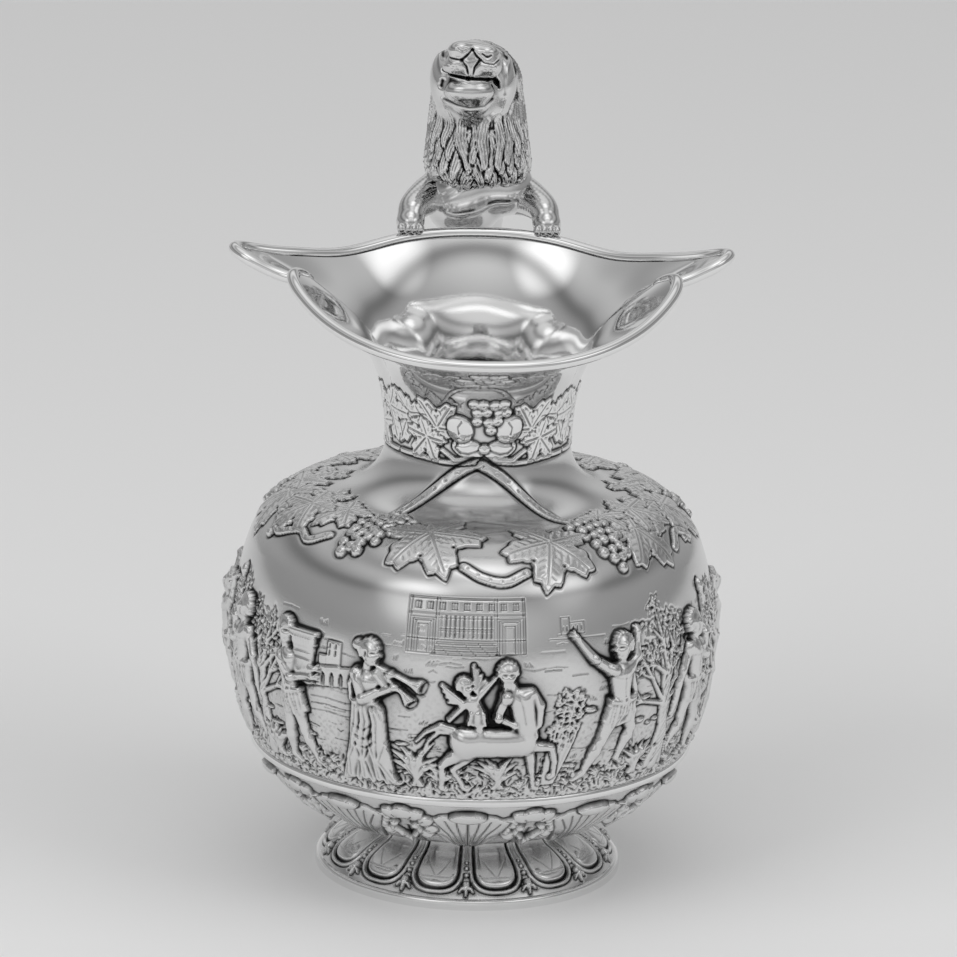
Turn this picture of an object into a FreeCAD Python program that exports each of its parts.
"""Silver water pitcher with a three-lobed mouth and a climbing-lion handle, as separate silversmith's parts.

Frame: millimetres, +Z up, origin on the vessel's axis in the plane the foot stands on. The pouring
lip points to -Y and the handle stands at +Y. The vessel is raised from sheet in five shells (foot,
lower bowl, body, shoulder with the neck's root, and neck with the mouth); drawn wires stiffen the foot,
the girdle and the rim. The lion is hollow cast in parts that are soldered together, with its forepaws
on the rim and its hind paws on a plate on the shoulder.
"""

import FreeCAD, Part
import math
import os

import Sketcher
from FreeCAD import Placement, Rotation, Vector

DIMENSIONS = {
    # sheet and wire
    "sheet_gauge": 0.9,
    "rim_wire_radius": 1.9,
    "girdle_width": 3.2,
    "girdle_bulge": 1.4,
    # foot
    "foot_radius": 48.0,
    "foot_rim_height": 3.2,
    "foot_rim_width": 4.0,
    "foot_corner": 1.2,
    "foot_flange_inset": 1.5,
    "foot_dome_curve": 30.0,
    "foot_waist_radius": 33.5,
    "foot_waist_height": 13.0,
    "stem_curve": 6.5,
    "stem_radius": 30.0,
    # vessel
    "bowl_height": 18.0,
    "bowl_curve": 42.0,
    "girdle_height": 42.0,
    "girdle_radius": 68.0,
    "lower_body_curve": 93.6,
    "body_radius": 75.2,
    "belly_height": 78.0,
    "upper_body_curve": 82.4,
    "seam_radius": 70.3,
    "seam_height": 106.0,
    "shoulder_curve": 24.2,
    "shoulder_height": 122.0,
    "neck_fillet": 16.5,
    "neck_radius": 28.6,
    "neck_height": 140.0,
    # mouth
    "mouth_half_width": 76.0,
    "lip_reach": 60.0,
    "mouth_back": 35.0,
    "rim_height": 195.2,
    "lip_drop": 19.0,
    # lion
    "lion_wall": 2.5,
    "lion_chest": 15.5,
    "lion_leg": 4.6,
    "lion_tail": 2.6,
    "lion_head_width": 29.0,
    "lion_mane_width": 34.0,
    "lion_top": 254.5,
    "lion_head_back": 45.0,
    "forepaw_spread": 21.0,
    "hindpaw_spread": 15.0,
    "plate_gauge": 1.2,
}

# The right half of the rim, from the tip of the lip to the back. Each row holds x as a share of
# mouth_half_width, y as a share of lip_reach (in front) or of mouth_back (behind), the drop below
# rim_height as a share of lip_drop, and the angle round the neck that the sheet rises from.
RIM_HALF = (
    (0.000, -1.000, 1.00, -90),
    (0.289, -0.950, 0.95, -70),
    (0.539, -0.775, 0.74, -53),
    (0.697, -0.567, 0.41, -41),
    (0.761, -0.433, 0.14, -34),
    (0.758, -0.308, 0.07, -30),
    (0.713, -0.220, 0.20, -27),
    (0.713, -0.137, 0.31, -23),
    (0.771, -0.083, 0.32, -18),
    (0.882, -0.050, 0.18, -9),
    (0.968, -0.017, 0.01, -1),
    (1.000, 0.091, -0.06, 5),
    (0.961, 0.229, -0.01, 10),
    (0.868, 0.320, 0.08, 15),
    (0.737, 0.429, 0.16, 22),
    (0.566, 0.629, 0.24, 36),
    (0.329, 0.886, 0.11, 60),
    (0.000, 1.000, 0.03, 90),
)
# How the sheet leaves the neck and meets the rim, at the front, at a wing and at the back: the rise
# straight up, how far out it then swings, and how far under the rim it arrives.
MOUTH_FLOW = {"front": (24.0, 0.44, 7.5), "wing": (34.0, 0.56, 11.5), "back": (30.0, 0.20, 10.5)}
# Sections of the rim wire. Each is a closed cubic spline with this many poles, set out by a share of
# the wire's radius that brings the spline's own points to that radius.
RIM_SECTIONS = 96
RING_POLES = 8
RING_POLE_REACH = 6 / (4 + 2 * math.cos(2 * math.pi / RING_POLES))
# Radius of the girdle wire's round face as a share of its width.
GIRDLE_ROUND = 0.62
# The plate under the hind paws: its lower and upper edge as angles on the shoulder's curve, and its sweep.
PLATE_EDGES = (38, 88)
PLATE_SWEEP = 58.0

# The lion's members as stations along their middle line: x, y, z and a share of the member's girth.
# The x of a leg is a share of its paw's spread.
TORSO = (
    (0, 37, 199, 0.62),
    (0, 45, 204, 1.00),
    (0, 57, 209, 1.00),
    (0, 72, 206, 0.84),
    (0, 86, 193, 0.70),
    (0, 94, 174, 0.64),
    (0, 95, 155, 0.68),
    (0, 88, 138, 0.74),
    (0, 79, 129, 0.50),
)
FORELEG = (
    (0.66, 50, 211, 1.45),
    (0.86, 46, 206, 1.25),
    (1.00, 40, 202.5, 0.95),
    (1.02, 34.5, 198.4, 0.82),
)
HINDLEG = (
    (0.78, 78, 136, 1.15),
    (0.92, 72, 130, 0.95),
    (1.00, 66, 124, 0.78),
    (1.00, 63, 121, 0.70),
)
TAIL = (
    (25, 55, 120.5, 0.80),
    (28, 62, 118, 1.90),
    (29, 71, 113, 1.20),
    (23, 84, 110, 1.00),
    (13, 96, 114, 1.00),
    (4, 97, 124, 1.05),
    (0, 88, 131, 1.25),
)
# The torso's hollow is slimmer than the torso by this share of the wall on its radius.
HOLLOW_SHARE = 1.6
# The muscle at the top of each leg: shares of lion_leg for its x, y and z radii, then its centre.
# PAW holds the same three shares for the paws.
SHOULDER_MUSCLE = ((1.20, 1.90, 1.90), (12.5, 53, 210))
HAUNCH = ((1.35, 2.30, 2.50), (10.0, 83, 137))
PAW = (0.92, 1.35, 0.75)
# Swellings of the head: share of the head's or mane's width for x, y and z radii, then the centre,
# as distances forward of the head's middle and below the lion's top.
HEAD_MASSES = {
    "mane": ("lion_mane_width", 0.50, 0.47, 0.72, -6.0, 28.0),
    "skull": ("lion_head_width", 0.48, 0.50, 0.44, 0.0, 13.0),
    "muzzle": ("lion_head_width", 0.33, 0.42, 0.29, 11.0, 9.0),
    "jaw": ("lion_head_width", 0.29, 0.34, 0.22, 9.0, 18.0),
}
# How far the muzzle and jaw tip up, in degrees.
HEAD_TILT = 12
# An ear: shares of the head's width for its x, y and z radii, then its place to the side, behind the
# head's middle and below the top.
EAR = ((0.12, 0.09, 0.16), (12.0, 5.0, 6.0))

doc = FreeCAD.newDocument("water_pitcher")
sheet = doc.addObject("Spreadsheet::Sheet", "Dimensions")
for row, (alias, value) in enumerate(DIMENSIONS.items(), start=1):
    sheet.set(f"A{row}", alias)
    sheet.set(f"B{row}", str(value))
    sheet.setAlias(f"B{row}", alias)
doc.recompute()
subparts = []


class Size:
    """A length that remembers its formula over the sheet's cells, so that an object can be bound to it."""

    def __init__(self, value, text):
        self.value = value
        self.text = text

    def __add__(self, other):
        other = as_size(other)
        return Size(self.value + other.value, f"({self.text} + {other.text})")

    def __sub__(self, other):
        other = as_size(other)
        return Size(self.value - other.value, f"({self.text} - {other.text})")

    def __mul__(self, number):
        return Size(self.value * number, f"{self.text} * {number:.6f}")


def as_size(number):
    """A plain number as a Size; a Size as it is."""
    return number if isinstance(number, Size) else Size(float(number), f"{float(number):.6f}")


def cell(alias):
    """The Size held in the sheet's cell of that alias."""
    return Size(float(sheet.get(alias)), f"Dimensions.{alias}")


def leg_of(hypotenuse, other):
    """The third side of a right-angled triangle."""
    length = math.sqrt(hypotenuse.value**2 - other.value**2)
    return Size(length, f"sqrt(({hypotenuse.text})^2 - ({other.text})^2)")


# ---------------------------------------------------------------- shells and wires of revolution


def arc_centre(start, end, curve):
    """Centre of the arc from start to end. A positive curve bulges away from the axis, going up."""
    chord = end - start
    left = Vector(-chord.y, chord.x, 0).normalize()
    sagitta = math.sqrt(curve * curve - chord.Length**2 / 4)
    return (start + end) / 2 + left * math.copysign(sagitta, curve)


def outward(start, end, curve, at):
    """Unit normal on the outer side of one stretch of outline, at one of its ends."""
    if curve is None:
        chord = end - start
        return Vector(chord.y, -chord.x, 0).normalize()
    return (at - arc_centre(start, end, curve.value)).normalize() * math.copysign(1, curve.value)


def wall(points, curves, gauge):
    """Closes an outline into a wall of that gauge: the outline, then its parallel back on the inner side."""
    places = [Vector(r.value, z.value, 0) for r, z in points]
    stretches = list(zip(places, places[1:], curves))
    inner = []
    for index, (r, z) in enumerate(points):
        normals = []
        for start, end, curve in stretches[max(index - 1, 0) : index + 1]:
            normals.append(outward(start, end, curve, places[index]))
        if len(normals) == 2:
            shift = (normals[0] + normals[1]) / (1 + normals[0].dot(normals[1]))
        elif abs(normals[0].x) > 0.3:
            shift = Vector(1 / normals[0].x, 0, 0)
        else:
            shift = Vector(0, 1 / normals[0].y, 0)
        inner.append((r if r.value == 0 else r - gauge * shift.x, z - gauge * shift.y))
    back = []
    for curve in reversed(curves):
        back.append(None if curve is None else gauge - curve)
    return points + inner[::-1], curves + [None] + back + [None]


def profile_sketch(body, points, curves):
    """A fully dimensioned sketch, in the body's plane through the axis, of a closed outline."""
    sketch = body.newObject("Sketcher::SketchObject", body.Name + "_profile")
    plane = next(item for item in body.Origin.OriginFeatures if item.Role == "YZ_Plane")
    sketch.AttachmentSupport = [(plane, "")]
    sketch.MapMode = "FlatFace"
    places = [Vector(r.value, z.value, 0) for r, z in points]
    for index, curve in enumerate(curves):
        start, end = places[index], places[(index + 1) % len(places)]
        if curve is None:
            sketch.addGeometry(Part.LineSegment(start, end))
            continue
        centre = arc_centre(start, end, curve.value)
        crown = centre + ((start + end) / 2 - centre).normalize() * abs(curve.value)
        sketch.addGeometry(Part.Arc(start, crown, end))
    ends = []
    for index, curve in enumerate(curves):
        clockwise = curve is not None and curve.value < 0
        ends.append((2, 1) if clockwise else (1, 2))
    for index in range(len(curves)):
        following = (index + 1) % len(curves)
        joint = Sketcher.Constraint("Coincident", index, ends[index][1], following, ends[following][0])
        sketch.addConstraint(joint)
    for index, (r, z) in enumerate(points):
        if r.value == 0:
            sketch.addConstraint(Sketcher.Constraint("PointOnObject", index, ends[index][0], -2))
        else:
            bind(sketch, "DistanceX", (-1, 1, index, ends[index][0]), r)
        if z.value == 0:
            sketch.addConstraint(Sketcher.Constraint("PointOnObject", index, ends[index][0], -1))
        else:
            bind(sketch, "DistanceY", (-1, 1, index, ends[index][0]), z)
    for index, curve in enumerate(curves):
        if curve is not None:
            radius = curve if curve.value > 0 else curve * -1
            bind(sketch, "Radius", (index,), radius)
    return sketch


def bind(sketch, kind, places, size):
    """Adds a dimension to the sketch and ties it to the sheet."""
    number = sketch.addConstraint(Sketcher.Constraint(kind, *places, size.value))
    sketch.setExpression(f"Constraints[{number}]", size.text)


def revolved(label, points, curves, angle=360.0):
    """A body turned about the vessel's axis from a closed outline, full round or a patch at the back."""
    body = doc.addObject("PartDesign::Body", label)
    sketch = profile_sketch(body, points, curves)
    turning = body.newObject("PartDesign::Revolution", label + "_turning")
    turning.Profile = sketch
    turning.ReferenceAxis = (sketch, ["V_Axis"])
    turning.Midplane = angle < 360
    turning.Angle = angle
    return finished(body, label)


def finished(item, label):
    """Names a sub-part and puts it in the list that is written out."""
    item.Label = label
    subparts.append(item)
    return item


def foot():
    """The drawn wire the pitcher stands on and the domed sheet that rises from it to the bowl."""
    radius, height, corner = cell("foot_radius"), cell("foot_rim_height"), cell("foot_corner")
    inside = radius - cell("foot_rim_width")
    nothing = as_size(0)
    revolved(
        "foot_rim_wire",
        [
            (inside, nothing),
            (radius, nothing),
            (radius, height - corner),
            (radius - corner, height),
            (inside, height),
        ],
        [None, None, corner, None, None],
    )
    revolved(
        "foot_shell",
        *wall(
            [
                (radius - cell("foot_flange_inset"), height),
                (cell("foot_waist_radius"), cell("foot_waist_height")),
                (cell("stem_radius"), cell("bowl_height")),
            ],
            [cell("foot_dome_curve"), cell("stem_curve") * -1],
            cell("sheet_gauge"),
        ),
    )


def shoulder_flat():
    """Radius at which the shoulder's curve has turned level."""
    curve = cell("shoulder_curve")
    return cell("seam_radius") - leg_of(curve, curve - (cell("shoulder_height") - cell("seam_height")))


def vessel():
    """The lower bowl, the girdle wire over its seam, the body, and the shoulder with the neck's root."""
    gauge = cell("sheet_gauge")
    girdle = (cell("girdle_radius"), cell("girdle_height"))
    bowl_bottom, curve = cell("bowl_height"), cell("bowl_curve")
    bowl_flat = girdle[0] - leg_of(curve, curve - (girdle[1] - bowl_bottom))
    revolved(
        "lower_bowl",
        *wall([(as_size(0), bowl_bottom), (bowl_flat, bowl_bottom), girdle], [None, curve], gauge),
    )
    half_width, half_bulge = cell("girdle_width") * 0.5, cell("girdle_bulge") * 0.5
    revolved(
        "girdle_wire",
        [(girdle[0] - half_bulge, girdle[1] - half_width), (girdle[0] + half_bulge, girdle[1] + half_width)],
        [cell("girdle_width") * GIRDLE_ROUND, None],
    )
    seam = (cell("seam_radius"), cell("seam_height"))
    belly = (cell("body_radius"), cell("belly_height"))
    revolved(
        "body_wall",
        *wall([girdle, belly, seam], [cell("lower_body_curve"), cell("upper_body_curve")], gauge),
    )
    top = cell("shoulder_height")
    revolved(
        "shoulder",
        *wall(
            [
                seam,
                (shoulder_flat(), top),
                (cell("neck_radius") + cell("neck_fillet"), top),
                (cell("neck_radius"), top + cell("neck_fillet")),
                (cell("neck_radius"), cell("neck_height")),
            ],
            [cell("shoulder_curve"), None, cell("neck_fillet") * -1, None],
            gauge,
        ),
    )


# ---------------------------------------------------------------- mouth


def rim_stations():
    """Points all round the rim, from the back round the right side and the lip, each with its root."""
    width, reach = float(sheet.get("mouth_half_width")), float(sheet.get("lip_reach"))
    back, drop = float(sheet.get("mouth_back")), float(sheet.get("lip_drop"))
    radius, height = float(sheet.get("neck_radius")), float(sheet.get("neck_height"))
    right = []
    for x, y, fall, degrees in RIM_HALF:
        depth = y * (reach if y < 0 else back)
        turn = math.radians(degrees)
        root = Vector(radius * math.cos(turn), radius * math.sin(turn), height)
        right.append((Vector(x * width, depth, float(sheet.get("rim_height")) - fall * drop), root))
    left = [(Vector(-rim.x, rim.y, rim.z), Vector(-root.x, root.y, root.z)) for rim, root in right]
    return right[::-1] + left[1:-1]


def closed_curve(points, parameters):
    """A smooth closed curve through the points."""
    curve = Part.BSplineCurve()
    curve.interpolate(Points=points, PeriodicFlag=True, Parameters=parameters)
    return curve


def rim_parameters():
    """The running length round the rim at each station, which every closed curve of the mouth shares."""
    rims = [rim for rim, _ in rim_stations()]
    lengths = [0.0]
    for index, rim in enumerate(rims):
        lengths.append(lengths[-1] + rim.distanceToPoint(rims[(index + 1) % len(rims)]))
    return lengths


def meridian_poles(rim, root):
    """The four poles of the cubic that runs up the sheet from the neck to the rim wire's edge."""
    turn = math.atan2(root.y, root.x)
    ahead, side, behind = max(-math.sin(turn), 0) ** 2, math.cos(turn) ** 2, max(math.sin(turn), 0) ** 2
    mixed = []
    for front, wing, rear in zip(*MOUTH_FLOW.values()):
        mixed.append(front * ahead + wing * side + rear * behind)
    rise, swing, under = mixed
    riser = root + Vector(0, 0, rise)
    arrival = root + (rim - root) * swing
    arrival.z = rim.z - under
    last = 1 - float(sheet.get("rim_wire_radius")) / (3 * (rim - arrival).Length)
    level, poles = [root, riser, arrival, rim], [root]
    while len(level) > 1:
        level = [one + (other - one) * last for one, other in zip(level, level[1:])]
        poles.append(level[0])
    return poles


def inner_poles(rows, gauge):
    """The same net of poles moved in from the outer side by the gauge, along the sheet's own normals."""
    moved = []
    for index, row in enumerate(rows):
        before, after = rows[index - 1], rows[(index + 1) % len(rows)]
        line = []
        for step, pole in enumerate(row):
            along = row[min(step + 1, len(row) - 1)] - row[max(step - 1, 0)]
            normal = (after[step] - before[step]).cross(along)
            if step <= 1:
                normal.z = 0
            line.append(pole + normal.normalize() * gauge)
        moved.append(line)
    return moved


def mouth_surface(rows, parameters):
    """A smooth sheet through the meridians, closed all round."""
    curves = [closed_curve(list(ring), parameters) for ring in zip(*rows)]
    poles = list(zip(*[curve.getPoles() for curve in curves]))
    knots, mults = curves[0].getKnots(), curves[0].getMultiplicities()
    surface = Part.BSplineSurface()
    surface.buildFromPolesMultsKnots(poles, mults, (4, 4), knots, (0.0, 1.0), True, False, 3, 3)
    return surface


def neck_mouth():
    """The neck and the three-lobed mouth: one sheet, thin-walled, pinched behind the lip."""
    outer_rows = [meridian_poles(rim, root) for rim, root in rim_stations()]
    sides = []
    for rows in (outer_rows, inner_poles(outer_rows, float(sheet.get("sheet_gauge")))):
        sides.append(mouth_surface(rows, rim_parameters()))
    faces = [side.toShape() for side in sides]
    for level in (0, 1):
        edges = [side.vIso(level).toShape() for side in sides]
        faces.append(Part.makeRuledSurface(*edges))
    return stored_solid("neck_mouth", faces)


def rim_wire():
    """The round wire that is soldered all round the mouth's edge."""
    line = closed_curve([rim for rim, _ in rim_stations()], rim_parameters())
    radius = float(sheet.get("rim_wire_radius")) * RING_POLE_REACH
    parameters = [line.LastParameter * step / RIM_SECTIONS for step in range(RIM_SECTIONS + 1)]
    rings = []
    for at in parameters[:-1]:
        middle, along = line.value(at), line.tangent(at)[0]
        side = along.cross(Vector(0, 0, 1)).normalize()
        lift = side.cross(along)
        ring = []
        for step in range(RING_POLES):
            turn = 2 * math.pi * step / RING_POLES
            ring.append(middle + side * (radius * math.cos(turn)) + lift * (radius * math.sin(turn)))
        rings.append(ring)
    curves = [closed_curve(list(track), parameters) for track in zip(*rings)]
    surface = Part.BSplineSurface()
    surface.buildFromPolesMultsKnots(
        list(zip(*[curve.getPoles() for curve in curves])),
        curves[0].getMultiplicities(),
        [1] * (RING_POLES + 1),
        curves[0].getKnots(),
        [step / RING_POLES for step in range(RING_POLES + 1)],
        True,
        True,
        3,
        3,
    )
    return stored_solid("rim_wire", [surface.toShape()])


def stored_solid(label, faces):
    """A sub-part whose closed skin is made of these faces."""
    shell = Part.makeShell(faces)
    if len(faces) > 1:
        shell.sewShape()
    solid = Part.makeSolid(shell)
    if solid.Volume < 0:
        solid.reverse()
    feature = doc.addObject("Part::Feature", label)
    feature.Shape = solid
    feature.Placement = Placement()
    return finished(feature, label)


def wire_section(name, at, along, radius):
    """A circle across a line at one point, bound to the sheet."""
    circle = doc.addObject("Part::Circle", name)
    circle.setExpression("Radius", radius.text)
    circle.Placement = Placement(at, Rotation(Vector(1, 0, 0), Vector(), along, "ZXY"))
    return circle


# ---------------------------------------------------------------- lion


def member(name, stations, girth, spread=None):
    """A tapering limb: a loft through circles that stand across the line through its stations."""
    centres = []
    for x, y, z, _ in stations:
        centres.append(Vector(x if spread is None else x * spread.value, y, z))
    circles = []
    for index, (*_, share) in enumerate(stations):
        along = centres[min(index + 1, len(centres) - 1)] - centres[max(index - 1, 0)]
        circles.append(wire_section(f"{name}_{index}", centres[index], along, girth * share))
    loft = doc.addObject("Part::Loft", name)
    loft.Sections = circles
    loft.Solid = True
    return loft


def swelling(name, radii, centre, tilt=0.0):
    """An ellipsoid with its three radii bound to the sheet, tipped nose-up by tilt degrees."""
    ball = doc.addObject("Part::Ellipsoid", name)
    for attribute, radius in zip(("Radius2", "Radius3", "Radius1"), radii):
        ball.setExpression(attribute, radius.text)
    ball.Placement = Placement(centre, Rotation(Vector(-1, 0, 0), tilt))
    return ball


def joined(name, pieces):
    """The pieces as one solid."""
    fusion = doc.addObject("Part::MultiFuse", name)
    fusion.Shapes = pieces
    return fusion


def trimmed(name, base, tool):
    """The base with the tool cut away."""
    cut = doc.addObject("Part::Cut", name)
    cut.Base = base
    cut.Tool = tool
    return cut


def torso():
    """The hollow torso in its two cast halves, which meet on the lion's middle plane."""
    outside = member("torso_outside", TORSO, cell("lion_chest"))
    girth = cell("lion_chest")
    inside = member("torso_inside", TORSO[1:-1], girth - cell("lion_wall") * HOLLOW_SHARE)
    hollow = trimmed("torso_hollow", outside, inside)
    for side, label in ((-1, "lion_torso_left"), (1, "lion_torso_right")):
        block = doc.addObject("Part::Box", label + "_side")
        block.setExpression("Length", "Dimensions.lion_chest * 2")
        block.setExpression("Width", "Dimensions.lion_top")
        block.setExpression("Height", "Dimensions.lion_top")
        block.Placement = Placement(Vector(0 if side > 0 else -2 * girth.value, 0, 0), Rotation())
        half = doc.addObject("Part::Common", label)
        half.Base = hollow
        half.Tool = block
        finished(half, label)
    return outside


def head(torso_outside):
    """The head and mane, cast hollow in one with the ears, trimmed to sit on the torso."""
    top, back = float(sheet.get("lion_top")), float(sheet.get("lion_head_back"))
    masses = []
    for name, (alias, wide, deep, tall, ahead, below) in HEAD_MASSES.items():
        radii = [cell(alias) * share for share in (wide, deep, tall)]
        tilt = 0 if name == "mane" else HEAD_TILT
        masses.append(swelling("head_" + name, radii, Vector(0, back - ahead, top - below), tilt))
    shares, (aside, behind, under) = EAR
    radii = [cell("lion_head_width") * share for share in shares]
    for side, label in ((-1, "head_ear_left"), (1, "head_ear_right")):
        masses.append(swelling(label, radii, Vector(side * aside, back + behind, top - under)))
    cast = trimmed("head_cast", joined("head_masses", masses), torso_outside)
    wide, deep, tall, ahead, below = HEAD_MASSES["mane"][1:]
    radii = [cell("lion_mane_width") * share - cell("lion_wall") for share in (wide, deep, tall)]
    core = swelling("head_core", radii, Vector(0, back - ahead, top - below - float(sheet.get("lion_wall"))))
    return finished(trimmed("lion_head", cast, core), "lion_head")


def leg(label, stations, muscle, spread, torso_outside):
    """The right leg with its paw, trimmed to the torso's side, and the left leg as its mirror image."""
    girth = cell("lion_leg")
    limb = member(label + "_limb", stations, girth, spread)
    x, y, z, _ = stations[-1]
    paw = swelling(label + "_paw", [girth * share for share in PAW], Vector(x * spread.value, y, z))
    shares, centre = muscle
    top = swelling(label + "_muscle", [girth * share for share in shares], Vector(*centre))
    right = trimmed(label + "_right", joined(label + "_solid", [limb, paw, top]), torso_outside)
    finished(right, label + "_right")
    left = doc.addObject("Part::Mirroring", label + "_left")
    left.Source = right
    left.Normal = Vector(1, 0, 0)
    finished(left, label + "_left")


def shoulder_plate():
    """The curved plate on the shoulder that carries the hind paws and the tail's end."""
    curve, gauge = cell("shoulder_curve"), cell("plate_gauge")
    centre = (shoulder_flat(), cell("shoulder_height") - curve)
    ends = []
    for degrees in PLATE_EDGES:
        direction = (math.cos(math.radians(degrees)), math.sin(math.radians(degrees)))
        ends.append(tuple(middle + (curve + gauge) * share for middle, share in zip(centre, direction)))
    revolved("shoulder_plate", *wall(ends, [curve + gauge], gauge), angle=PLATE_SWEEP)


def lion():
    """The handle: torso halves, head, four legs and tail."""
    torso_outside = torso()
    head(torso_outside)
    fore, hind = cell("forepaw_spread"), cell("hindpaw_spread")
    leg("foreleg", FORELEG, SHOULDER_MUSCLE, fore, torso_outside)
    leg("hindleg", HINDLEG, HAUNCH, hind, torso_outside)
    tail = member("tail_limb", TAIL, cell("lion_tail"))
    finished(trimmed("tail", tail, torso_outside), "tail")


def check_and_write():
    """Stops if anything in the document failed, then writes each sub-part to its own STEP file."""
    doc.recompute()
    for item in doc.Objects:
        if "Invalid" in item.State or "Error" in item.State:
            raise RuntimeError(f"{item.Name} did not build: {item.State}")
    os.makedirs("parts", exist_ok=True)
    for item in subparts:
        shape = item.Shape
        if shape.isNull() or not shape.isValid() or not shape.Solids:
            raise RuntimeError(f"{item.Label} has no valid solid")
        shape.exportStep(os.path.join("parts", item.Label + ".step"))
        print(f"{item.Label}: {len(shape.Solids)} solid, {shape.Volume / 1000:.1f} cm3")


foot()
vessel()
neck_mouth()
rim_wire()
shoulder_plate()
lion()
check_and_write()
